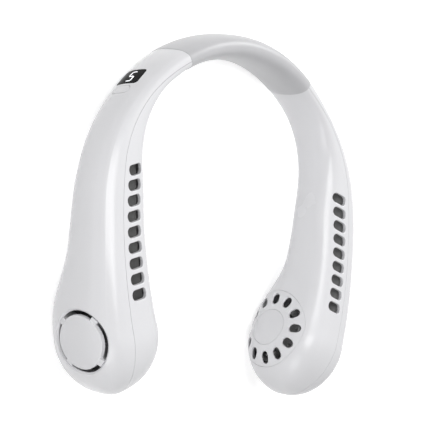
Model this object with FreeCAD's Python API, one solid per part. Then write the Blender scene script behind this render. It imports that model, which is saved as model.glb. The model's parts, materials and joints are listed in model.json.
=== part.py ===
import FreeCAD, Part
import math
import os
from FreeCAD import Vector

# Centreline of one half of the U, seen from above: three arcs that meet tangent.
band_radius = 90.0
band_turn = 43.7
shoulder_radius = 67.0
shoulder_turn = 42.5
arm_radius = 219.0
arm_turn = 29.1

# Body of the U: how thick and how tall it is at the neck band, along the arm and at the bulb.
neck_thickness = 11.7
middle_swell = 1.3
arm_thickness = 33.4
bulb_thickness = 43.8
band_height = 30.7
bulb_height = 51.7
arch_rise = 9.7
bulb_reach = 30.3

# Where along one half those sizes start and stop changing.
arm_swell_shares = (0.276, 0.595)
bulb_swell_shares = (0.617, 0.943)
top_rise_shares = (0.242, 1.043)
arch_start_shares = (0.052, 0.653)
arch_end_shares = (0.680, 0.840)
square_shares = (0.35, 0.75)
band_squareness = 2.2
crest_squareness = 2.8
bulb_squareness = 2.85

# Shells: wall, the line where the two halves meet, and the lip that holds them together.
shell_wall = 1.8
seam_offset = 4.3
seam_gap = 0.2
lip_depth = 2.0
lip_thickness = 1.0

# Soft sleeve over the middle of the band, with the spring strip and the wires inside it.
sleeve_half_length = 48.5
sleeve_step = 0.2
sleeve_wall = 2.0
core_height = 12.0
core_thickness = 0.8
core_offset = 1.4
core_grip = 7.0
wire_count = 4
wire_diameter = 1.4
wire_pitch = 2.2
wire_offset = 1.8
wire_reach = 5.0
coupler_tongue = 8.0
coupler_length = 19.0
coupler_window_height = 10.0
coupler_window_width = 2.4

# Air outlets along the top of each arm.
slot_count = 9
slot_pitch = 7.42
slot_length = 9.6
slot_width = 5.1
slot_corner = 2.3
slot_slant = 20.0
slot_offset = 3.3
slot_to_fan = 20.9
slot_edge = 0.4

# Dark duct below the outlets.
duct_width = 14.0
duct_wall = 1.2
duct_end_margin = 6.0

# Flat battery cell under the duct.
battery_length = 46.0
battery_width = 15.0
battery_height = 9.0
battery_corner = 2.0
battery_clearance = 0.8

# Fan in the bulb: where its axis crosses the centreline, and how it leans.
fan_setback = 30.9
fan_height = 24.05
fan_tilt = 12.1
fan_turn = 1.5

# Outer intake cap: a disc on four bridges, in a round hole with a bevelled rim.
cap_radius = 13.3
cap_proud = 0.3
cap_thickness = 2.0
cap_edge = 0.5
cap_bridge_count = 4
cap_bridge_angle = 37.0
cap_bridge_width = 3.6
cap_bridge_thickness = 1.2
cap_bridge_drop = 0.3
cap_hole_radius = 15.3
cap_rim_bevel = 1.1
cap_tab_reach = 1.5

# Inner grille: a round plate with a ring of holes and a badge in its middle.
grille_radius = 21.2
grille_depth_share = 0.55
grille_thickness = 1.0
grille_rim = 1.4
grille_lip = 1.4
grille_lip_thickness = 1.0
grille_hole_count = 12
grille_hole_ring = 16.4
grille_hole_length = 6.2
grille_hole_width = 4.7
grille_hole_turn = -8.0
grille_hole_edge = 0.4
badge_radius = 10.0
badge_thickness = 0.8
badge_seat = 1.2

# Fan frame: spoked plate, bearing tube and scroll wall, on three bosses of the outer shell.
scroll_radius = 16.4
scroll_wall = 1.2
scroll_mouth = 100.0
plate_face = 8.0
plate_thickness = 1.6
plate_radius = 10.0
spoke_count = 3
spoke_angle = 60.0
spoke_width = 4.2
boss_ring = 19.1
boss_diameter = 4.0
screw_diameter = 1.6
screw_length = 6.0
screw_head_diameter = 2.8
screw_head_height = 1.0
tube_diameter = 5.0
tube_length = 10.5
bearing_wall = 0.9

# Motor and impeller, from the frame plate towards the grille.
shaft_diameter = 1.5
stator_diameter = 14.0
stator_length = 6.4
motor_gap = 0.8
stator_poles = 6
stator_slot = 1.6
stator_hub_diameter = 8.0
magnet_wall = 1.2
hub_wall = 1.2
hub_depth = 13.0
impeller_radius = 15.0
impeller_height = 18.5
scroll_margin = 1.0
blade_count = 15
blade_thickness = 0.9
blade_root_share = 0.76
blade_sweep = 22.0
web_thickness = 1.2

# Display, button and board on the right arm.
control_from_sleeve = 31.8
display_length = 11.6
display_height = 13.4
display_corner = 2.0
display_thickness = 1.3
control_drop = 2.1
control_slant = 11.0
module_thickness = 1.4
module_margin = 1.2
button_gap = 1.7
button_width = 5.5
button_height = 9.8
button_clearance = 0.25
button_flange = 0.8
button_flange_length = 3.4
button_flange_thickness = 0.8
button_travel = 0.5
switch_width = 4.0
switch_height = 1.3
stem_diameter = 2.4
board_length = 20.0
board_height = 11.0
board_thickness = 1.0
board_depth = 6.4
socket_from_control = 15.0
socket_offset = 2.6
socket_setback = 0.3
socket_width = 8.9
socket_thickness = 3.2
socket_depth = 7.0
socket_wall = 0.35
tongue_width = 6.7
tongue_thickness = 0.7
tongue_setback = 0.8

# Clearances, and one overrun for every cut.
loose_fit = 0.3
close_fit = 0.15
running_fit = 0.05
touching = 0.001
overrun = 3.0

# How finely the swept shapes are drawn.
section_points = 24
body_sections = 22
cap_sections = 8
rim_samples = 4


def smooth(value, start, end):
    share = min(max((value - start) / (end - start), 0), 1)
    return share * share * (3 - 2 * share)


arc_sizes = (
    (band_radius, math.radians(band_turn)),
    (shoulder_radius, math.radians(shoulder_turn)),
    (arm_radius, math.radians(arm_turn)),
)
half_length = sum(radius * turn for radius, turn in arc_sizes)
bulb_start = half_length - bulb_reach
fan_station = half_length - fan_setback
last_slot = fan_station - slot_to_fan
first_slot = last_slot - slot_pitch * (slot_count - 1)


def centreline(station):
    """Point on the centreline and heading there, for the left half (positive X)."""
    x = 0
    y = 0
    heading = 0
    left = abs(station)
    for index, (radius, turn) in enumerate(arc_sizes):
        last_arc = index == len(arc_sizes) - 1
        step = left / radius if last_arc else min(left / radius, turn)
        x += radius * (math.sin(heading + step) - math.sin(heading))
        y += radius * (math.cos(heading + step) - math.cos(heading))
        heading += step
        left -= step * radius
        if left <= 0:
            break
    side = -1 if station < 0 else 1
    return Vector(side * x, y, 0), side * heading


def directions(station):
    """Unit vectors along the arm and outwards at a station."""
    heading = centreline(station)[1]
    along = Vector(math.cos(heading), -math.sin(heading), 0)
    outward = Vector(math.sin(heading), math.cos(heading), 0)
    return along, outward


def span(station, shares):
    return smooth(abs(station), shares[0] * half_length, shares[1] * half_length)


def half_thickness(station):
    total = neck_thickness
    total += middle_swell * (1 - smooth(abs(station), 0, sleeve_half_length))
    total += (arm_thickness - neck_thickness) * span(station, arm_swell_shares)
    total += (bulb_thickness - arm_thickness) * span(station, bulb_swell_shares)
    return total / 2


def top_height(station):
    start = band_height - sleeve_step
    return start + (bulb_height - start) * span(station, top_rise_shares)


def under_height(station):
    rise = sleeve_step + (arch_rise - sleeve_step) * span(station, arch_start_shares)
    return rise * (1 - span(station, arch_end_shares))


def middle_height(station):
    level = min(abs(station), bulb_start)
    return (top_height(level) + under_height(level)) / 2


def squareness(station, on_crest):
    """How square the outline is, more so on the crest, its upper outer quarter."""
    start = crest_squareness if on_crest else band_squareness
    return start + (bulb_squareness - start) * span(station, square_shares)


def section_sizes(station, inset):
    """Half thickness and half height of the body, drawn in by inset."""
    level = min(abs(station), bulb_start)
    half_height = (top_height(level) - under_height(level)) / 2 - inset
    width = half_thickness(station) - inset
    into_bulb = max(abs(station) - bulb_start, 0) / (bulb_reach - inset)
    closing = math.sqrt(max(1 - into_bulb ** 2, 0))
    return width * closing, half_height * closing


def power(value, exponent):
    return math.copysign(abs(value) ** exponent, value)


def section(station, inset):
    """Rounded closed outline of the body across the centreline."""
    point = centreline(station)[0]
    outward = directions(station)[1]
    width, height = section_sizes(station, inset)
    points = []
    for index in range(section_points):
        angle = math.tau * index / section_points + math.pi / 4
        on_crest = math.cos(angle) > 0 and math.sin(angle) > 0
        exponent = 2 / squareness(station, on_crest)
        across = width * power(math.cos(angle), exponent)
        up = middle_height(station) + height * power(math.sin(angle), exponent)
        points.append(point + outward * across + Vector(0, 0, up))
    curve = Part.BSplineCurve()
    curve.interpolate(Points=points, PeriodicFlag=True, Parameters=list(range(section_points + 1)))
    return Part.Wire(curve.toShape())


def band_body(inset, start, end, count):
    """Solid piece of the body between two stations."""
    stations = [start + (end - start) * index / count for index in range(count + 1)]
    return Part.makeLoft([section(station, inset) for station in stations], True)


def arm_body(inset, start):
    """Solid arm from a station to its rounded tip."""
    count = body_sections
    stations = [start + (bulb_start - start) * index / count for index in range(count + 1)]
    reach = bulb_reach - inset
    for index in range(1, cap_sections):
        angle = math.pi / 2 * index / cap_sections
        stations.append(bulb_start + reach * math.sin(angle))
    tip_station = bulb_start + reach
    tip = centreline(tip_station)[0] + Vector(0, 0, middle_height(tip_station))
    profiles = [section(station, inset) for station in stations]
    profiles.append(Part.Vertex(tip))
    return Part.makeLoft(profiles, True)


def ribbon(start, end, inner_line, outer_line, low, high):
    """Upright solid between two lines that run beside the centreline."""
    edges = []
    ends = []
    for line in (inner_line, outer_line):
        points = []
        for index in range(body_sections + 1):
            station = start + (end - start) * index / body_sections
            point = centreline(station)[0] + directions(station)[1] * line(station)
            points.append(point + Vector(0, 0, low))
        curve = Part.BSplineCurve()
        curve.interpolate(Points=points)
        edges.append(curve.toShape())
        ends.append((points[0], points[-1]))
    for first, second in zip(*ends):
        edges.append(Part.makeLine(first, second))
    outline = Part.Wire(Part.sortEdges(edges)[0])
    return Part.Face(outline).extrude(Vector(0, 0, high - low))


def axes(origin, x_axis, z_axis):
    y_axis = z_axis.cross(x_axis)
    return FreeCAD.Placement(origin, FreeCAD.Rotation(x_axis, y_axis, z_axis, "ZXY"))


def placed(shape, place):
    moved = shape.copy()
    moved.Placement = place.multiply(moved.Placement)
    return moved


def spun(place, turn):
    """The same place, turned about its Z axis."""
    return place.multiply(FreeCAD.Placement(Vector(0, 0, 0), FreeCAD.Rotation(Vector(0, 0, 1), turn)))


def side_place(station, height, turn):
    """Place on the arm's side: X towards the band, Y up, Z outwards, turned about Z."""
    along, outward = directions(station)
    return spun(axes(centreline(station)[0] + Vector(0, 0, height), along * -1, outward), turn)


def top_place(station, across, height, turn):
    """Place seen from above: X along the arm, Y outwards, Z up, turned about Z."""
    along, outward = directions(station)
    origin = centreline(station)[0] + outward * across + Vector(0, 0, height)
    return spun(axes(origin, along, Vector(0, 0, 1)), turn)


def fan_place():
    """Place on the fan's axis: X towards the band, Z outwards along the leaning axis."""
    along, outward = directions(fan_station)
    lean = math.radians(fan_tilt)
    swing = math.radians(fan_turn)
    bandwards = along * -math.cos(swing) - outward * math.sin(swing)
    outwards = outward * math.cos(swing) - along * math.sin(swing)
    axis = outwards * math.cos(lean) + Vector(0, 0, math.sin(lean))
    return axes(centreline(fan_station)[0] + Vector(0, 0, fan_height), bandwards, axis)


def rod(radius, low, high):
    return Part.makeCylinder(radius, high - low, Vector(0, 0, low))


def tube(outer_radius, inner_radius, low, high):
    return rod(outer_radius, low, high).cut(rod(inner_radius, low, high))


def block(length, width, low, high):
    return Part.makeBox(length, width, high - low, Vector(-length / 2, -width / 2, low))


def is_upright(edge):
    direction = edge.tangentAt(edge.FirstParameter)
    return abs(direction.z) > math.hypot(direction.x, direction.y)


def rounded_block(length, width, corner, low, high):
    plain = block(length, width, low, high)
    return plain.makeFillet(corner, list(filter(is_upright, plain.Edges)))


def obround_block(length, width, low, high):
    straight = length - width
    shape = block(straight, width, low, high)
    for side in (-1, 1):
        end = rod(width / 2, low, high)
        end.translate(Vector(side * straight / 2, 0, 0))
        shape = shape.fuse(end)
    return shape.removeSplitter()


def turned(shape, angle):
    copy = shape.copy()
    copy.rotate(Vector(0, 0, 0), Vector(0, 0, 1), angle)
    return copy


def joined(shapes):
    whole = shapes[0]
    for shape in shapes[1:]:
        whole = whole.fuse(shape)
    return whole.removeSplitter()


def bar(width, start, end, low, high):
    """Bar that runs out along X from start to end."""
    shape = block(end - start, width, low, high)
    shape.translate(Vector((start + end) / 2, 0, 0))
    return shape


# Layers of the arm that several pieces share.
arm_start = sleeve_half_length
far = bulb_thickness
lip_inset = shell_wall + close_fit
lip_floor = lip_inset + lip_thickness
lip_start = sleeve_half_length + coupler_length - coupler_tongue + loose_fit
whole_arm = arm_body(0, arm_start)
cavity = arm_body(shell_wall, arm_start - overrun)
lip_face = arm_body(lip_inset, arm_start - overrun)
lip_cavity = arm_body(lip_floor, arm_start - overrun)
fan_at = fan_place()
grille_start = half_thickness(fan_station) * grille_depth_share
battery_low = arch_rise + lip_floor + battery_clearance
bearing_radius = shaft_diameter / 2 + running_fit + bearing_wall
magnet_radius = stator_diameter / 2 + loose_fit + magnet_wall
rotor_high = plate_face - plate_thickness - motor_gap
hub_low = rotor_high - hub_depth
blade_low = rotor_high - impeller_height
scroll_low = blade_low - scroll_margin


def layer(outer_inset, inner_inset):
    """Skin of the arm between two insets."""
    return arm_body(outer_inset, arm_start).cut(arm_body(inner_inset, arm_start - overrun))


def seam_line(station):
    return seam_offset * smooth(station, sleeve_half_length, first_slot)


def outside_seam(shift, start):
    """Everything outside the seam, with the seam moved outwards by shift."""
    return ribbon(start, half_length + overrun, lambda s: seam_line(s) + shift, lambda s: far,
                  -overrun, bulb_height + overrun)


def rim_edges(shape, cutter):
    """Edges that a cutter left on the outside of the arm."""
    skin = whole_arm.Shells[0]

    def on_rim(point):
        spot = Part.Vertex(point)
        return spot.distToShape(skin)[0] < touching and spot.distToShape(cutter)[0] < touching

    real_edges = [edge for edge in shape.Edges if not edge.Degenerated]
    return [edge for edge in real_edges if all(map(on_rim, edge.discretize(rim_samples)))]


def outlet_cuts():
    """The slots' cutters, all parallel to the first one."""
    cuts = []
    for index in range(slot_count):
        station = first_slot + slot_pitch * index
        height = middle_height(station)
        turned_since_first = math.degrees(centreline(station)[1] - centreline(first_slot)[1])
        slot = rounded_block(slot_width, slot_length, slot_corner, 0, bulb_height)
        cuts.append(placed(slot, top_place(station, -slot_offset, height, turned_since_first - slot_slant)))
    return Part.makeCompound(cuts)


def boss_places():
    for index in range(spoke_count):
        yield spoke_angle + 360 / spoke_count * index


def ring_edge(shape, radius):
    """Outermost edge that runs round the fan's axis at a radius."""
    axis = fan_at.Rotation.multVec(Vector(0, 0, 1))

    def off_axis(point):
        offset = point - fan_at.Base
        return (offset - axis * offset.dot(axis)).Length

    def is_ring(edge):
        return all(abs(off_axis(point) - radius) < running_fit for point in edge.discretize(section_points))

    real_edges = [edge for edge in shape.Edges if not edge.Degenerated]
    return max(filter(is_ring, real_edges), key=lambda edge: edge.CenterOfMass.dot(axis))


def outer_shell():
    shell = whole_arm.common(outside_seam(0, arm_start - overrun))
    shell = shell.cut(lip_cavity)
    shell = shell.cut(cavity.common(outside_seam(lip_depth, arm_start - overrun)))
    root = ribbon(arm_start - overrun, lip_start, lambda s: -far, lambda s: far,
                  -overrun, bulb_height + overrun)
    shell = shell.cut(cavity.common(root))
    tongue = lip_face.cut(lip_cavity)
    tongue = tongue.common(outside_seam(-lip_depth, lip_start))
    tongue = tongue.cut(outside_seam(lip_depth / 2, lip_start - overrun))
    shell = shell.fuse(tongue)
    bosses = []
    for angle in boss_places():
        post = rod(boss_diameter / 2, plate_face, far)
        post.translate(Vector(boss_ring, 0, 0))
        bosses.append(turned(post, angle))
    posts = placed(Part.makeCompound(bosses), fan_at).common(whole_arm)
    shell = shell.fuse(posts)
    hole = rod(cap_hole_radius, plate_face, far)
    shell = shell.cut(placed(hole, fan_at))
    pilots = []
    for angle in boss_places():
        pilot = rod(screw_diameter / 2, plate_face - overrun, plate_face + screw_length)
        pilot.translate(Vector(boss_ring, 0, 0))
        pilots.append(turned(pilot, angle))
    shell = shell.cut(placed(Part.makeCompound(pilots), fan_at))
    return shell.makeChamfer(cap_rim_bevel, [ring_edge(shell, cap_hole_radius)])


def inner_shell():
    shell = whole_arm.cut(cavity).cut(outside_seam(-seam_gap, arm_start - overrun))
    slots = outlet_cuts()
    shell = shell.cut(slots)
    shell = shell.makeFillet(slot_edge, rim_edges(shell, slots))
    hole = rod(grille_radius + close_fit, -far, -grille_start)
    return shell.cut(placed(hole, fan_at))


def grille():
    def disc(radius):
        return placed(rod(radius, -far, -grille_start), fan_at)

    behind = shell_wall + close_fit
    back = behind + grille_lip_thickness
    plate = layer(0, grille_thickness).common(disc(grille_radius))
    rim = layer(0, back).common(disc(grille_radius).cut(disc(grille_radius - grille_rim)))
    flange = layer(behind, back).common(disc(grille_radius + grille_lip))
    flange = flange.cut(disc(grille_radius - grille_rim))
    seat = layer(0, badge_thickness + close_fit + badge_seat).common(disc(badge_radius + badge_seat))
    plate = plate.fuse(rim).fuse(flange).fuse(seat)
    cuts = []
    for index in range(grille_hole_count):
        hole = obround_block(grille_hole_length, grille_hole_width, -far, 0)
        hole.translate(Vector(grille_hole_ring, 0, 0))
        angle = grille_hole_turn + 360 / grille_hole_count * index
        cuts.append(placed(turned(hole, angle), fan_at))
    holes = Part.makeCompound(cuts)
    plate = plate.cut(holes)
    plate = plate.makeFillet(grille_hole_edge, rim_edges(plate, holes))
    pocket = placed(rod(badge_radius + close_fit, -far, 0), fan_at)
    return plate.cut(pocket.cut(arm_body(badge_thickness + close_fit, arm_start)))


def grille_badge():
    disc = placed(rod(badge_radius, -far, -grille_start), fan_at)
    return layer(0, badge_thickness).common(disc)


def intake_cap():
    disc = placed(rod(cap_radius, plate_face, far), fan_at)
    plate = arm_body(-cap_proud, arm_start).cut(arm_body(cap_thickness, arm_start - overrun)).common(disc)
    plate = plate.makeFillet(cap_edge, [ring_edge(plate, cap_radius)])
    bridges = []
    tabs = []
    for index in range(cap_bridge_count):
        angle = cap_bridge_angle + 360 / cap_bridge_count * index
        bridge = bar(cap_bridge_width, cap_radius / 2, cap_hole_radius - close_fit, plate_face, far)
        tab = bar(cap_bridge_width, cap_radius / 2, cap_hole_radius + cap_tab_reach, plate_face, far)
        bridges.append(placed(turned(bridge, angle), fan_at))
        tabs.append(placed(turned(tab, angle), fan_at))
    floor = lip_inset + cap_bridge_thickness
    links = layer(cap_bridge_drop, floor).common(joined(bridges))
    hooks = layer(lip_inset, floor).common(joined(tabs))
    return plate.fuse(links).fuse(hooks)


def air_duct():
    """Trough under the outlets, open towards the fan, with its end cut round the scroll wall."""
    start = first_slot - duct_end_margin
    end = last_slot + duct_end_margin
    floor = battery_low + battery_height + loose_fit
    half = duct_width / 2
    outside = ribbon(start, end, lambda s: -slot_offset - half, lambda s: half - slot_offset,
                     floor, bulb_height)
    inner_half = half - duct_wall
    inside = ribbon(start + duct_wall, end + overrun, lambda s: -slot_offset - inner_half,
                    lambda s: inner_half - slot_offset, floor + duct_wall, bulb_height + overrun)
    scroll = placed(rod(scroll_radius + scroll_wall + loose_fit, -far, far), fan_at)
    return outside.common(arm_body(lip_floor + loose_fit, start - overrun)).cut(inside).cut(scroll)


def battery_cell():
    station = (first_slot + last_slot) / 2
    cell = block(battery_length, battery_width, battery_low, battery_low + battery_height)
    cell = cell.makeFillet(battery_corner, cell.Edges)
    return placed(cell, top_place(station, 0, 0, 0))


def fan_frame():
    inner_face = plate_face - plate_thickness
    shape = [rod(plate_radius, inner_face, plate_face)]
    for angle in boss_places():
        spoke = bar(spoke_width, 0, boss_ring, inner_face, plate_face)
        lug = rod(spoke_width / 2, inner_face, plate_face)
        lug.translate(Vector(boss_ring, 0, 0))
        shape.append(turned(spoke.fuse(lug), angle))
    wall = tube(scroll_radius + scroll_wall, scroll_radius, scroll_low, plate_face)
    wedge_half = math.radians(scroll_mouth / 2)
    corner_x = far * math.cos(wedge_half)
    corner_y = far * math.sin(wedge_half)
    corners = [Vector(0, 0, 0), Vector(corner_x, -corner_y, 0), Vector(corner_x, corner_y, 0)]
    mouth = Part.Face(Part.makePolygon(corners + corners[:1])).extrude(Vector(0, 0, far))
    mouth.translate(Vector(0, 0, scroll_low - overrun))
    shape.append(wall.cut(mouth))
    shape.append(rod(tube_diameter / 2, plate_face - tube_length, plate_face))
    frame = joined(shape)
    frame = frame.cut(rod(bearing_radius + running_fit, plate_face - tube_length - overrun, inner_face))
    for angle in boss_places():
        hole = rod(screw_diameter / 2 + close_fit, inner_face - overrun, plate_face + overrun)
        hole.translate(Vector(boss_ring, 0, 0))
        frame = frame.cut(turned(hole, angle))
    return placed(frame, fan_at)


def motor_bearing():
    bore = shaft_diameter / 2 + running_fit
    bush = tube(bearing_radius, bore, plate_face - tube_length, plate_face - plate_thickness)
    return placed(bush, fan_at)


def motor_stator():
    high = plate_face - plate_thickness - motor_gap
    low = high - stator_length
    core = tube(stator_diameter / 2, tube_diameter / 2 + running_fit, low, high)
    for index in range(stator_poles):
        slot = bar(stator_slot, stator_hub_diameter / 2, stator_diameter, low, high)
        core = core.cut(turned(slot, 360 / stator_poles * index))
    return placed(core, fan_at)


def motor_screw(angle):
    inner_face = plate_face - plate_thickness
    head_face = inner_face - screw_head_height
    shank = rod(screw_diameter / 2 - running_fit, head_face, plate_face + screw_length - loose_fit)
    screw = shank.fuse(rod(screw_head_diameter / 2, head_face, inner_face))
    screw.translate(Vector(boss_ring, 0, 0))
    return placed(turned(screw, angle), fan_at)


def rotor_magnet():
    ring = tube(magnet_radius, magnet_radius - magnet_wall, rotor_high - stator_length, rotor_high)
    return placed(ring, fan_at)


def rotor_shaft():
    return placed(rod(shaft_diameter / 2, hub_low, plate_face - plate_thickness - loose_fit), fan_at)


def impeller():
    hub_radius = magnet_radius + running_fit + hub_wall
    cup = rod(hub_radius, hub_low, rotor_high)
    cup = cup.cut(rod(hub_radius - hub_wall, hub_low + hub_wall, rotor_high))
    boss = rod(tube_diameter / 2, hub_low, plate_face - tube_length - loose_fit)
    web_low = (blade_low + rotor_high - web_thickness) / 2
    web = tube(impeller_radius, hub_radius - hub_wall, web_low, web_low + web_thickness)
    shape = [cup, boss, web]
    root = impeller_radius * blade_root_share
    for index in range(blade_count):
        blade = bar(blade_thickness, 0, impeller_radius - root, blade_low, rotor_high)
        blade = turned(blade, blade_sweep)
        blade.translate(Vector(root, 0, 0))
        blade = turned(blade, 360 / blade_count * index)
        shape.append(blade)
    wheel = joined(shape).common(rod(impeller_radius, blade_low, rotor_high))
    return placed(wheel.cut(rod(shaft_diameter / 2, hub_low, rotor_high)), fan_at)


# Pieces of the band.
band_centre = Vector(0, -band_radius, 0)
band_middle = middle_height(0)


def bent(face, half_reach):
    """Sweep a face, drawn across the middle of the band, along the band's arc both ways."""
    half_angle = math.degrees(half_reach / band_radius)
    start = face.copy()
    start.rotate(band_centre, Vector(0, 0, 1), half_angle)
    return start.revolve(band_centre, Vector(0, 0, 1), -2 * half_angle)


def band_sleeve():
    outside = band_body(-sleeve_step, -sleeve_half_length, sleeve_half_length, body_sections)
    reach = sleeve_half_length + overrun
    return outside.cut(band_body(sleeve_wall - sleeve_step, -reach, reach, body_sections))


def band_core():
    strip = Part.makeBox(core_thickness, core_thickness, core_height)
    face = min(strip.Faces, key=lambda side: side.CenterOfMass.x)
    face.translate(Vector(0, -core_offset - core_thickness / 2, band_middle - core_height / 2))
    return bent(face, sleeve_half_length + core_grip)


def band_wire(index):
    height = band_middle + wire_pitch * (index - (wire_count - 1) / 2)
    ring = Part.makeCircle(wire_diameter / 2, Vector(0, wire_offset, height), Vector(1, 0, 0))
    return bent(Part.Face(Part.Wire(ring)), sleeve_half_length + wire_reach)


def band_coupler():
    start = sleeve_half_length - coupler_tongue
    plug = band_body(shell_wall + loose_fit, start, start + coupler_length, body_sections)
    reach = start + coupler_length + overrun
    slot = ribbon(start - overrun, reach, lambda s: -core_offset - core_thickness / 2 - loose_fit,
                  lambda s: core_thickness / 2 + loose_fit - core_offset,
                  band_middle - core_height / 2 - loose_fit, band_middle + core_height / 2 + loose_fit)
    window = ribbon(start - overrun, reach, lambda s: wire_offset - coupler_window_width / 2,
                    lambda s: wire_offset + coupler_window_width / 2,
                    band_middle - coupler_window_height / 2, band_middle + coupler_window_height / 2)
    return plug.cut(slot).cut(window)


# Controls on the right arm, drawn on the left arm's side of the frame and mirrored with it.
control_station = sleeve_half_length + control_from_sleeve
control_height = middle_height(control_station) - control_drop
controls_at = side_place(control_station, control_height, -control_slant)
display_x = (button_gap + display_length) / 2
button_x = -(button_gap + button_width) / 2
board_face = half_thickness(control_station) - board_depth
button_floor = shell_wall + loose_fit + button_flange_thickness
socket_station = control_station + socket_from_control
socket_at = top_place(socket_station, -socket_offset, under_height(socket_station), 0)


def display_prism(margin):
    prism = rounded_block(display_length + 2 * margin, display_height + 2 * margin, display_corner, 0, far)
    prism.translate(Vector(display_x, 0, 0))
    return placed(prism, controls_at)


def display_window():
    return layer(0, display_thickness).common(display_prism(0))


def display_module():
    module = block(display_length - 2 * module_margin, display_height - 2 * module_margin,
                   board_face, board_face + module_thickness)
    module.translate(Vector(display_x, 0, 0))
    return placed(module, controls_at)


def control_board():
    return placed(block(board_length, board_height, board_face - board_thickness, board_face), controls_at)


def button_switch():
    body = block(switch_width, switch_width, board_face, board_face + switch_height)
    body.translate(Vector(button_x, 0, 0))
    return placed(body, controls_at)


def button_prism(margin):
    prism = turned(obround_block(button_height + 2 * margin, button_width + 2 * margin, 0, far), 90)
    prism.translate(Vector(button_x, 0, 0))
    return placed(prism, controls_at)


def power_button():
    cap = layer(0, button_floor).common(button_prism(0))
    wings = block(button_width + 2 * button_flange, button_flange_length, 0, far)
    wings.translate(Vector(button_x, 0, 0))
    flange = layer(shell_wall + loose_fit, button_floor).common(placed(wings, controls_at))
    stem_end = board_face + switch_height + button_travel + loose_fit
    stem = rod(stem_diameter / 2, stem_end, half_thickness(control_station) - shell_wall)
    stem.translate(Vector(button_x, 0, 0))
    return joined([cap, flange, placed(stem, controls_at)])


def charging_socket():
    low = socket_setback
    high = low + socket_depth
    shell = obround_block(socket_width, socket_thickness, low, high)
    bore = obround_block(socket_width - 2 * socket_wall, socket_thickness - 2 * socket_wall,
                         low - overrun, high - socket_wall)
    tongue = block(tongue_width, tongue_thickness, low + tongue_setback, high)
    return placed(shell.cut(bore).fuse(tongue), socket_at)


def socket_hole():
    width = socket_width + 2 * close_fit
    thickness = socket_thickness + 2 * close_fit
    return placed(obround_block(width, thickness, -overrun, socket_depth), socket_at)


def mirrored(shape):
    """The same piece on the right arm (negative X)."""
    return shape.mirror(Vector(0, 0, 0), Vector(1, 0, 0))


left_outer = outer_shell()
left_inner = inner_shell()
control_cuts = display_prism(close_fit).fuse(button_prism(button_clearance))
pieces = {
    "band_sleeve": band_sleeve(),
    "band_core": band_core(),
    "left_outer_shell": left_outer,
    "left_inner_shell": left_inner,
    "right_outer_shell": mirrored(left_outer.cut(control_cuts)),
    "right_inner_shell": mirrored(left_inner.cut(socket_hole())),
    "display_window": mirrored(display_window()),
    "display_module": mirrored(display_module()),
    "control_board": mirrored(control_board()),
    "button_switch": mirrored(button_switch()),
    "power_button": mirrored(power_button()),
    "charging_socket": mirrored(charging_socket()),
}
for index in range(wire_count):
    pieces["band_wire_" + str(index + 1)] = band_wire(index)
arm_pieces = {
    "band_coupler": band_coupler(),
    "intake_cap": intake_cap(),
    "grille": grille(),
    "grille_badge": grille_badge(),
    "air_duct": air_duct(),
    "battery_cell": battery_cell(),
    "fan_frame": fan_frame(),
    "motor_bearing": motor_bearing(),
    "motor_stator": motor_stator(),
    "rotor_magnet": rotor_magnet(),
    "rotor_shaft": rotor_shaft(),
    "impeller": impeller(),
}
for index, angle in enumerate(boss_places()):
    arm_pieces["motor_screw_" + str(index + 1)] = motor_screw(angle)
for name, left_piece in arm_pieces.items():
    pieces["left_" + name] = left_piece
    pieces["right_" + name] = mirrored(left_piece)

# The origin is under the middle of the whole fan, on the surface that it lies on.
front = whole_arm.optimalBoundingBox().YMin
back = pieces["band_sleeve"].optimalBoundingBox().YMax
to_origin = Vector(0, -(front + back) / 2, 0)
os.makedirs("parts", exist_ok=True)
for name, shape in pieces.items():
    shape.translate(to_origin)
    shape.exportStep("parts/" + name + ".step")
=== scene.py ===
import json
import math

import bmesh
import bpy
from mathutils import Matrix, Vector
from mathutils.bvhtree import BVHTree


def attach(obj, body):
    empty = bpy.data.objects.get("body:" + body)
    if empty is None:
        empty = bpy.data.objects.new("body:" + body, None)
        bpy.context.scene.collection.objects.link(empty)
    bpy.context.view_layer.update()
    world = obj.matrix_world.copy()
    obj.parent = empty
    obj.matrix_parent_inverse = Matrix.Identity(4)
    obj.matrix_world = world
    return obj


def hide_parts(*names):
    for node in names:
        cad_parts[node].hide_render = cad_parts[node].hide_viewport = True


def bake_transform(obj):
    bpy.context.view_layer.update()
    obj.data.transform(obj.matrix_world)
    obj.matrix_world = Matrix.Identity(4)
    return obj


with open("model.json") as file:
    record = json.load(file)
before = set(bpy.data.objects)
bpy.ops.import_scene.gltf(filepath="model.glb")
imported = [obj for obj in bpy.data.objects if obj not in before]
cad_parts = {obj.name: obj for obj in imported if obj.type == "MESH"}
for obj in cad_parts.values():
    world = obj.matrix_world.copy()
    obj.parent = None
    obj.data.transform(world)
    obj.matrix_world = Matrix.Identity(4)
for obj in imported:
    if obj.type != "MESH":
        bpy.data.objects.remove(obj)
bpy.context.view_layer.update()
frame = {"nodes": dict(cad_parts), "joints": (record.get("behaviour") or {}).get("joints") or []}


# Spring strip: a thin blued steel strip that runs inside the band and keeps its curve.
# Its ends are pushed into the two couplers.
# It is drawn as two halves that meet in the middle of the band.
band_arc = 0.090
band_back = 0.08592
band_middle = 0.01535
sleeve_reach = 0.0485
arm_sides = {"left": 1, "right": -1}
strip_height = 0.0120
strip_thickness = 0.0008
strip_inward = 0.0014
strip_reach = 0.0555
strip_edge = 0.0002
strip_steps = 28
sharp_edge = math.radians(35)
cloud_detail = 4
cloud_spread = (0.3, 0.7)
grit_detail = 2
grit_finer = 12
grit_flatness = 40


def on_band(station, outward, height):
    """Point beside the band's centreline, a distance along it from the middle."""
    angle = station / band_arc
    radius = band_arc + outward
    return Vector((radius * math.sin(angle), band_back - band_arc + radius * math.cos(angle), height))


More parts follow.
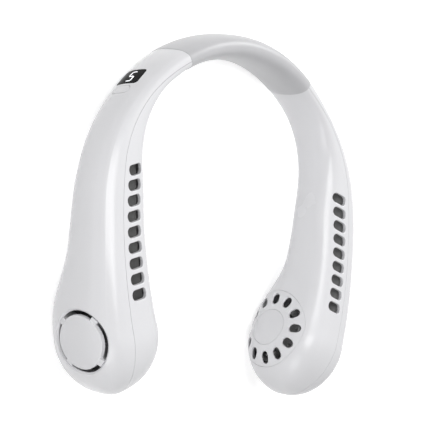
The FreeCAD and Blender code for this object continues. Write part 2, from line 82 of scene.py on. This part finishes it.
def skinned(name, rings, round_trip=False):
    """Skin over a row of like rings, capped at both ends or led back to the first ring."""
    shape = bmesh.new()
    rows = [[shape.verts.new(point) for point in ring] for ring in rings]
    pairs = list(zip(rows, rows[1:]))
    if round_trip:
        pairs.append((rows[-1], rows[0]))
    else:
        shape.faces.new(rows[0])
        shape.faces.new(rows[-1])
    for near, far in pairs:
        for index, corner in enumerate(near):
            after = (index + 1) % len(near)
            shape.faces.new((corner, near[after], far[after], far[index]))
    bmesh.ops.recalc_face_normals(shape, faces=shape.faces)
    for face in shape.faces:
        face.smooth = True
    mesh = bpy.data.meshes.new(name)
    shape.to_mesh(mesh)
    shape.free()
    mesh.set_sharp_from_angle(angle=sharp_edge)
    piece = bpy.data.objects.new(name, mesh)
    bpy.context.scene.collection.objects.link(piece)
    return piece


def finish(name, light, dark, grain, gloss, relief, settings=None):
    """Material whose colour and gloss wander between two values, with a fine relief."""
    material = bpy.data.materials.new(name)
    material.use_nodes = True
    add = material.node_tree.nodes.new
    link = material.node_tree.links.new
    shader = material.node_tree.nodes["Principled BSDF"]
    place = add("ShaderNodeTexCoord")
    cloud = add("ShaderNodeTexNoise")
    cloud.inputs["Scale"].default_value = 1 / grain
    cloud.inputs["Detail"].default_value = cloud_detail
    link(place.outputs["Object"], cloud.inputs["Vector"])
    tint = add("ShaderNodeValToRGB")
    for element, position, colour in zip(tint.color_ramp.elements, cloud_spread, (dark, light)):
        element.position = position
        element.color = (*colour, 1)
    link(cloud.outputs["Fac"], tint.inputs["Fac"])
    link(tint.outputs["Color"], shader.inputs["Base Color"])
    shine = add("ShaderNodeMapRange")
    shine.inputs["To Min"].default_value = gloss[0]
    shine.inputs["To Max"].default_value = gloss[1]
    link(cloud.outputs["Fac"], shine.inputs["Value"])
    link(shine.outputs["Result"], shader.inputs["Roughness"])
    grit = add("ShaderNodeTexNoise")
    grit.inputs["Scale"].default_value = grit_finer / grain
    grit.inputs["Detail"].default_value = grit_detail
    link(place.outputs["Object"], grit.inputs["Vector"])
    bump = add("ShaderNodeBump")
    bump.inputs["Strength"].default_value = relief
    bump.inputs["Distance"].default_value = grain / grit_flatness
    link(grit.outputs["Fac"], bump.inputs["Height"])
    link(bump.outputs["Normal"], shader.inputs["Normal"])
    for socket, value in (settings or {}).items():
        shader.inputs[socket].default_value = value
    return material


def bend_with_arm(piece):
    """Bake the piece's placing into its own mesh."""
    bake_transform(piece)


blued_steel = finish(
    "blued_steel", light=(0.30, 0.31, 0.35), dark=(0.22, 0.23, 0.27),
    grain=0.004, gloss=(0.25, 0.40), relief=0.05, settings={"Metallic": 1})
half_thick = strip_thickness / 2
half_tall = strip_height / 2
strip_outline = (
    (half_thick, half_tall - strip_edge),
    (half_thick, strip_edge - half_tall),
    (half_thick - strip_edge, -half_tall),
    (strip_edge - half_thick, -half_tall),
    (-half_thick, strip_edge - half_tall),
    (-half_thick, half_tall - strip_edge),
    (strip_edge - half_thick, half_tall),
    (half_thick - strip_edge, half_tall),
)
for side, sign in arm_sides.items():
    rings = []
    for step in range(strip_steps + 1):
        station = sign * strip_reach * step / strip_steps
        ring = [on_band(station, across - strip_inward, band_middle + up) for across, up in strip_outline]
        rings.append(ring)
    strip = skinned("spring_strip_" + side, rings)
    strip.data.materials.append(blued_steel)
    bend_with_arm(strip)
    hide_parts("band_core")


# Wires: four thin insulated leads that carry power and signals from one arm to the other.
# They lie one above the other in the sleeve, behind the strip, and bend with the band.
# Each is a stranded copper core in a soft coloured coat, drawn in two halves like the strip.
wire_radius = 0.0007
wire_pitch = 0.0022
wire_outward = 0.0018
wire_reach = 0.0535
wire_steps = 28
wire_corners = 12
wire_coats = (
    ("band_wire_1", "wire_red", (0.52, 0.05, 0.04), (0.44, 0.04, 0.03)),
    ("band_wire_2", "wire_black", (0.035, 0.035, 0.037), (0.025, 0.025, 0.026)),
    ("band_wire_3", "wire_white", (0.74, 0.74, 0.72), (0.68, 0.68, 0.66)),
    ("band_wire_4", "wire_white", (0.74, 0.74, 0.72), (0.68, 0.68, 0.66)),
)
for index, (node, slot, light, dark) in enumerate(wire_coats):
    coat = finish(node + "_coat", light, dark, grain=0.003, gloss=(0.45, 0.60), relief=0.1)
    height = band_middle + wire_pitch * (index - (len(wire_coats) - 1) / 2)
    for side, sign in arm_sides.items():
        rings = []
        for step in range(wire_steps + 1):
            station = sign * wire_reach * step / wire_steps
            ring = []
            for corner in range(wire_corners):
                angle = math.tau * corner / wire_corners
                across = wire_outward + wire_radius * math.cos(angle)
                ring.append(on_band(station, across, height + wire_radius * math.sin(angle)))
            rings.append(ring)
        wire = skinned(node + "_" + side, rings)
        wire.data.materials.append(coat)
        bend_with_arm(wire)
        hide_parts(node)


# Couplers: moulded plugs glued into the ends of the arms, each with a tongue under the sleeve.
# They are of natural white plastic, left as it comes from the mould.
# The strip and the wires pass through them.
nodes = frame["nodes"]


def dress(node, material):
    """Give a piece of the frame its finish in place of the plain one."""
    mesh = nodes[node].data
    mesh.materials.clear()
    mesh.materials.append(material)


inside_plastic = finish(
    "inside_plastic", light=(0.78, 0.78, 0.78), dark=(0.72, 0.72, 0.72),
    grain=0.006, gloss=(0.45, 0.60), relief=0.1)
for side in arm_sides:
    dress(side + "_band_coupler", inside_plastic)


# Sleeve: a soft silicone tube over the middle of the band, nearly flush with the arms.
# It is moulded with a matt skin and rounded ends.
# Its two halves share one edge in the middle.
sleeve_wall = 0.0020
sleeve_proud = 0.0002
sleeve_lip = 0.0002
sleeve_thickness = 0.0117
sleeve_swell = 0.0013
sleeve_top = 0.0305
arch_low = 0.0002
arch_high = 0.0097
arch_start = 0.01194
arch_end = 0.14991
sleeve_squareness = 2.2
crest_squareness = 2.8
sleeve_steps = 48
sleeve_corners = 96
lip_steps = 5


def eased(value, start, end):
    """Nought before the start, one after the end, and an even curve between."""
    share = min(max((value - start) / (end - start), 0), 1)
    return share * share * (3 - 2 * share)


def band_ring(station, grow):
    """Rounded outline of the band at a place along it, grown outwards."""
    away = abs(station)
    under = arch_low + (arch_high - arch_low) * eased(away, arch_start, arch_end)
    middle = (sleeve_top + under) / 2
    tall = (sleeve_top - under) / 2 + grow
    wide = (sleeve_thickness + sleeve_swell * (1 - eased(away, 0, sleeve_reach))) / 2 + grow
    ring = []
    for corner in range(sleeve_corners):
        angle = math.tau * corner / sleeve_corners
        on_crest = math.cos(angle) > 0 and math.sin(angle) > 0
        exponent = 2 / (crest_squareness if on_crest else sleeve_squareness)
        across = math.copysign(abs(math.cos(angle)) ** exponent, math.cos(angle))
        up = math.copysign(abs(math.sin(angle)) ** exponent, math.sin(angle))
        ring.append(on_band(station, wide * across, middle + tall * up))
    return ring


silicone = finish(
    "grey_silicone", light=(0.575, 0.575, 0.59), dark=(0.55, 0.55, 0.565),
    grain=0.010, gloss=(0.34, 0.40), relief=0.04,
    settings={"Sheen Weight": 0.1, "Sheen Roughness": 0.5})
for side, sign in arm_sides.items():
    straight = sleeve_reach - sleeve_lip
    rings = []
    for step in range(sleeve_steps + 1):
        rings.append(band_ring(sign * straight * step / sleeve_steps, sleeve_proud))
    for step in range(1, lip_steps + 1):
        angle = math.pi / 2 * step / lip_steps
        station = straight + sleeve_lip * math.sin(angle)
        rings.append(band_ring(sign * station, sleeve_proud - sleeve_lip * (1 - math.cos(angle))))
    for step in range(sleeve_steps, -1, -1):
        rings.append(band_ring(sign * sleeve_reach * step / sleeve_steps, sleeve_proud - sleeve_wall))
    sleeve = skinned("sleeve_" + side, rings, round_trip=True)
    sleeve.data.materials.append(silicone)
    bend_with_arm(sleeve)
    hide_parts("band_sleeve")


# Arm shells: each arm is an outer and an inner half, moulded in satin white plastic.
# They meet in a fine line beside the air outlets and hold together by a lip inside.
# The outlets are moulded through the inner half, with rounded edges.
shell_white = finish(
    "shell_white", light=(0.825, 0.825, 0.845), dark=(0.81, 0.81, 0.83),
    grain=0.030, gloss=(0.24, 0.29), relief=0.02)
for side in arm_sides:
    dress(side + "_outer_shell", shell_white)
    dress(side + "_inner_shell", shell_white)


# Battery cells: flat lithium pouches of laminated foil, one under the duct of each arm.
# The foil is slightly crinkled, and foam tape holds each cell to the shell.
foil = finish(
    "battery_foil", light=(0.70, 0.71, 0.73), dark=(0.58, 0.59, 0.61),
    grain=0.004, gloss=(0.25, 0.45), relief=0.2, settings={"Metallic": 0.9})
for side in arm_sides:
    dress(side + "_battery_cell", foil)


# Air ducts: grey moulded troughs that lead the air from the fan along to the outlets.
# They lie between the shells, and their floor is the grey that shows through the slots.
duct_grey = finish(
    "duct_grey", light=(0.42, 0.42, 0.42), dark=(0.38, 0.38, 0.38),
    grain=0.005, gloss=(0.55, 0.70), relief=0.15)
for side in arm_sides:
    dress(side + "_air_duct", duct_grey)


# Fan frames: dark moulded spiders with a scroll wall, each held to the outer shell by three screws.
# A bush of sintered bronze is pressed into the tube in the middle.
screw_numbers = ("1", "2", "3")
frame_plastic = finish(
    "frame_plastic", light=(0.32, 0.32, 0.323), dark=(0.28, 0.28, 0.283),
    grain=0.005, gloss=(0.55, 0.70), relief=0.15)
bronze = finish(
    "sintered_bronze", light=(0.56, 0.40, 0.20), dark=(0.46, 0.32, 0.15),
    grain=0.001, gloss=(0.35, 0.55), relief=0.2, settings={"Metallic": 1})
screw_steel = finish(
    "screw_steel", light=(0.62, 0.62, 0.64), dark=(0.50, 0.50, 0.52),
    grain=0.001, gloss=(0.25, 0.40), relief=0.1, settings={"Metallic": 1})
for side in arm_sides:
    dress(side + "_fan_frame", frame_plastic)
    dress(side + "_motor_bearing", bronze)
    for number in screw_numbers:
        dress(side + "_motor_screw_" + number, screw_steel)


# Motors: a copper wound core that is pressed onto the tube of each fan frame.
# A bonded ring magnet and a ground steel shaft sit in the impeller's hub and turn round it.
winding = finish(
    "copper_winding", light=(0.50, 0.22, 0.09), dark=(0.38, 0.15, 0.06),
    grain=0.0012, gloss=(0.30, 0.45), relief=0.4, settings={"Metallic": 0.8})
magnet = finish(
    "bonded_magnet", light=(0.10, 0.10, 0.105), dark=(0.07, 0.07, 0.075),
    grain=0.001, gloss=(0.50, 0.70), relief=0.2)
shaft_steel = finish(
    "ground_steel", light=(0.70, 0.70, 0.72), dark=(0.62, 0.62, 0.64),
    grain=0.0008, gloss=(0.12, 0.22), relief=0.05, settings={"Metallic": 1})
for side in arm_sides:
    dress(side + "_motor_stator", winding)
    dress(side + "_rotor_magnet", magnet)
    dress(side + "_rotor_shaft", shaft_steel)


# Impellers: grey moulded wheels with short swept blades on a web, one behind each grille.
# Each is pressed onto its shaft and draws air in through the cap and the grille.
impeller_plastic = finish(
    "impeller_plastic", light=(0.50, 0.50, 0.503), dark=(0.46, 0.46, 0.463),
    grain=0.004, gloss=(0.40, 0.52), relief=0.1)
for side in arm_sides:
    dress(side + "_impeller", impeller_plastic)


# Grilles: round plates that snap into the inner shells, with a ring of air holes.
# They are of the shells' own plastic, and a thin plain disc is glued in the middle of each.
badge_white = finish(
    "badge_white", light=(0.81, 0.81, 0.83), dark=(0.795, 0.795, 0.815),
    grain=0.020, gloss=(0.26, 0.32), relief=0.02)
for side in arm_sides:
    dress(side + "_grille", shell_white)
    dress(side + "_grille_badge", badge_white)


# Intake caps: plain moulded discs on four bridges that snap into the round holes of the outer shells.
# Their face is a little more matt than the shells, and the gap round it lets the air in.
cap_grey = finish(
    "cap_grey", light=(0.81, 0.81, 0.83), dark=(0.795, 0.795, 0.815),
    grain=0.020, gloss=(0.36, 0.42), relief=0.03)
for side in arm_sides:
    dress(side + "_intake_cap", cap_grey)


# Control board: a small glass fibre board with a green mask, inside the right arm.
# A tact switch under the power button and a digit module behind the window are soldered to it.
board_green = finish(
    "board_green", light=(0.03, 0.17, 0.07), dark=(0.02, 0.12, 0.05),
    grain=0.002, gloss=(0.30, 0.45), relief=0.2)
switch_black = finish(
    "switch_black", light=(0.04, 0.04, 0.042), dark=(0.03, 0.03, 0.031),
    grain=0.002, gloss=(0.45, 0.60), relief=0.2)
module_dark = finish(
    "digit_module", light=(0.03, 0.03, 0.032), dark=(0.02, 0.02, 0.022),
    grain=0.003, gloss=(0.30, 0.40), relief=0.1)
dress("control_board", board_green)
dress("button_switch", switch_black)
dress("display_module", module_dark)


# Display window: a smoked black plastic pane set flush in the outer shell of the right arm.
# One lit digit of five bars shows through it. Each bar follows the curve of the pane.
window_black = finish(
    "smoked_window", light=(0.010, 0.010, 0.011), dark=(0.007, 0.007, 0.008),
    grain=0.010, gloss=(0.12, 0.18), relief=0.01, settings={"Specular IOR Level": 0.02})
dress("display_window", window_black)
digit_light = finish(
    "digit_light", light=(0.92, 0.93, 0.95), dark=(0.86, 0.87, 0.90),
    grain=0.001, gloss=(0.40, 0.50), relief=0.05,
    settings={"Emission Color": (0.95, 0.96, 1.0, 1), "Emission Strength": 0.6})
pane_turn = math.radians(11)
digit_rise = 0.0075
digit_width = 0.0028
digit_lean = 0.04
digit_right = 0.0005
bar_width = 0.00085
bar_tip = 0.12
bar_proud = 0.00003
bar_sunk = 0.00020
bar_steps = 10
bar_places = (-1, 0, 1)
pane_clear = 0.02
press = next(joint for joint in frame["joints"] if joint["name"] == "power_button_press")
pane_out = -Vector(press["axis"]).normalized()
to_band = Vector((pane_out.y, -pane_out.x, 0))
world_up = Vector((0, 0, 1))
digit_up = to_band * math.cos(pane_turn) - world_up * math.sin(pane_turn)
digit_across = world_up * math.cos(pane_turn) + to_band * math.sin(pane_turn)
pane_mesh = nodes["display_window"].data
pane_points = [vertex.co for vertex in pane_mesh.vertices]
pane_tree = BVHTree.FromPolygons(pane_points, [tuple(face.vertices) for face in pane_mesh.polygons])


def middle_along(direction):
    """Where the pane's middle lies along a direction."""
    reach = [point.dot(direction) for point in pane_points]
    return (min(reach) + max(reach)) / 2


def on_pane(across, up, depth):
    """Point of the pane's face under a place on the digit, sunk by a depth."""
    flat = digit_across * (middle_along(digit_across) + digit_right + across + digit_lean * up)
    flat += digit_up * (middle_along(digit_up) + up)
    outside = flat + pane_out * (middle_along(pane_out) + pane_clear)
    spot = pane_tree.ray_cast(outside, -pane_out)[0]
    return spot - pane_out * depth


half_rise = digit_rise / 2
half_width = digit_width / 2
bars = {
    "top": ((-half_width, half_rise), (half_width, half_rise)),
    "upper_left": ((-half_width, half_rise), (-half_width, 0)),
    "middle": ((-half_width, 0), (half_width, 0)),
    "lower_right": ((half_width, 0), (half_width, -half_rise)),
    "bottom": ((-half_width, -half_rise), (half_width, -half_rise)),
}
for name, (start, end) in bars.items():
    start = Vector(start)
    end = Vector(end)
    run = end - start
    side_step = Vector((-run.y, run.x)).normalized() * bar_width / 2
    rings = []
    for step in range(bar_steps + 1):
        share = step / bar_steps
        to_end = min(share, 1 - share) * run.length
        fullness = max(min(to_end / (bar_width / 2), 1), bar_tip)
        spot = start + run * share
        ring = []
        for depth, places in ((-bar_proud, bar_places), (bar_sunk, bar_places[::-1])):
            for place in places:
                edge = spot + side_step * place * fullness
                ring.append(on_pane(edge.x, edge.y, depth))
        rings.append(ring)
    bar = skinned("digit_" + name, rings)
    bar.data.materials.append(digit_light)
    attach(bar, "right_arm")


# Power button: an oval key beside the window, moulded in the shells' own white plastic.
# A flange holds it under the shell, and the tact switch behind it springs it back.
dress("power_button", shell_white)


# Charging socket: a small oval shell of drawn steel with a tongue inside, under the right arm.
# It is set into the lower edge of the shell, with its mouth flush with the outside.
socket_steel = finish(
    "socket_steel", light=(0.60, 0.60, 0.62), dark=(0.52, 0.52, 0.54),
    grain=0.002, gloss=(0.20, 0.30), relief=0.05, settings={"Metallic": 1})
dress("charging_socket", socket_steel)


# Floor: a plain sheet of white paper under the fan, which keeps its soft shadow.
# It is white where it is looked at, straight or in gloss, and lights nothing by itself.
floor_reach = 3.0
floor_drop = 0.0003
floor_glow = 0.60
floor_white = (0.86, 0.86, 0.86, 1)
floor_corners = [
    (-floor_reach, -floor_reach, -floor_drop),
    (floor_reach, -floor_reach, -floor_drop),
    (floor_reach, floor_reach, -floor_drop),
    (-floor_reach, floor_reach, -floor_drop),
]
floor_mesh = bpy.data.meshes.new("floor")
floor_mesh.from_pydata(floor_corners, [], [(0, 1, 2, 3)])
floor = bpy.data.objects.new("floor", floor_mesh)
bpy.context.scene.collection.objects.link(floor)


def seen_directly(tree):
    """One where a ray from the camera, a gloss or a clear piece arrives, else nought."""
    path = tree.nodes.new("ShaderNodeLightPath")
    total = path.outputs["Is Camera Ray"]
    for kind in ("Is Glossy Ray", "Is Transmission Ray"):
        larger = tree.nodes.new("ShaderNodeMath")
        larger.operation = "MAXIMUM"
        tree.links.new(total, larger.inputs[0])
        tree.links.new(path.outputs[kind], larger.inputs[1])
        total = larger.outputs[0]
    return total


paper = bpy.data.materials.new("floor_paper")
paper.use_nodes = True
tree = paper.node_tree
tree.nodes.remove(tree.nodes["Principled BSDF"])
matt = tree.nodes.new("ShaderNodeBsdfDiffuse")
matt.inputs["Color"].default_value = floor_white
glow = tree.nodes.new("ShaderNodeEmission")
scaled = tree.nodes.new("ShaderNodeMath")
scaled.operation = "MULTIPLY"
scaled.inputs[1].default_value = floor_glow
tree.links.new(seen_directly(tree), scaled.inputs[0])
tree.links.new(scaled.outputs[0], glow.inputs["Strength"])
both = tree.nodes.new("ShaderNodeAddShader")
tree.links.new(matt.outputs[0], both.inputs[0])
tree.links.new(glow.outputs[0], both.inputs[1])
tree.links.new(both.outputs[0], tree.nodes["Material Output"].inputs["Surface"])
floor.data.materials.append(paper)


# Light: an even pale room and three soft boxes, all turned to the middle of the fan.
# One hangs above the right arm, one stands behind the left arm and a weaker one before the right arm.
# The room is white where it is looked at, and dimmer as a light.
room_level = 0.20
room_seen = 1
room_white = (1, 1, 1, 1)
box_side = 0.5
soft_boxes = {
    "above": ((-0.36, 0.23, 0.90), 4.8),
    "behind": ((0.61, 0.61, 0.50), 4.6),
    "before": ((-0.61, -0.61, 0.50), 2.2),
}
room = bpy.data.worlds.new("room")
room.use_nodes = True
bpy.context.scene.world = room
tree = room.node_tree
level = tree.nodes.new("ShaderNodeMapRange")
level.inputs["To Min"].default_value = room_level
level.inputs["To Max"].default_value = room_seen
tree.links.new(seen_directly(tree), level.inputs["Value"])
tree.links.new(level.outputs["Result"], tree.nodes["Background"].inputs["Strength"])
tree.nodes["Background"].inputs["Color"].default_value = room_white
for name, (place, power) in soft_boxes.items():
    lamp = bpy.data.lights.new(name, "AREA")
    lamp.size = box_side
    lamp.energy = power
    holder = bpy.data.objects.new(name, lamp)
    holder.location = place
    holder.rotation_euler = (-Vector(place)).to_track_quat("-Z", "Y").to_euler()
    bpy.context.scene.collection.objects.link(holder)


# Camera: a long lens above the right arm, which looks down at the fan from its side.
# It is rolled so that the band is at the top of the picture and both arms hang down.
lens_length = 138.8
sensor_side = 36
nearest = 0.01
furthest = 20
camera_place = Vector((-0.6369, 0.01262, 0.59005))
camera_right = Vector((0.6630, 0.1406, 0.7353))
camera_up = Vector((-0.0827, 0.9899, -0.1148))
camera_back = camera_right.cross(camera_up).normalized()
camera_up = camera_back.cross(camera_right).normalized()
camera_right.normalize()
lens = bpy.data.cameras.new("camera")
lens.sensor_width = sensor_side
lens.lens = lens_length
lens.clip_start = nearest
lens.clip_end = furthest
camera = bpy.data.objects.new("camera", lens)
turn = Matrix((camera_right, camera_up, camera_back)).transposed()
camera.matrix_world = Matrix.Translation(camera_place) @ turn.to_4x4()
bpy.context.scene.collection.objects.link(camera)
bpy.context.scene.camera = camera
bpy.context.scene.view_settings.view_transform = "Standard"
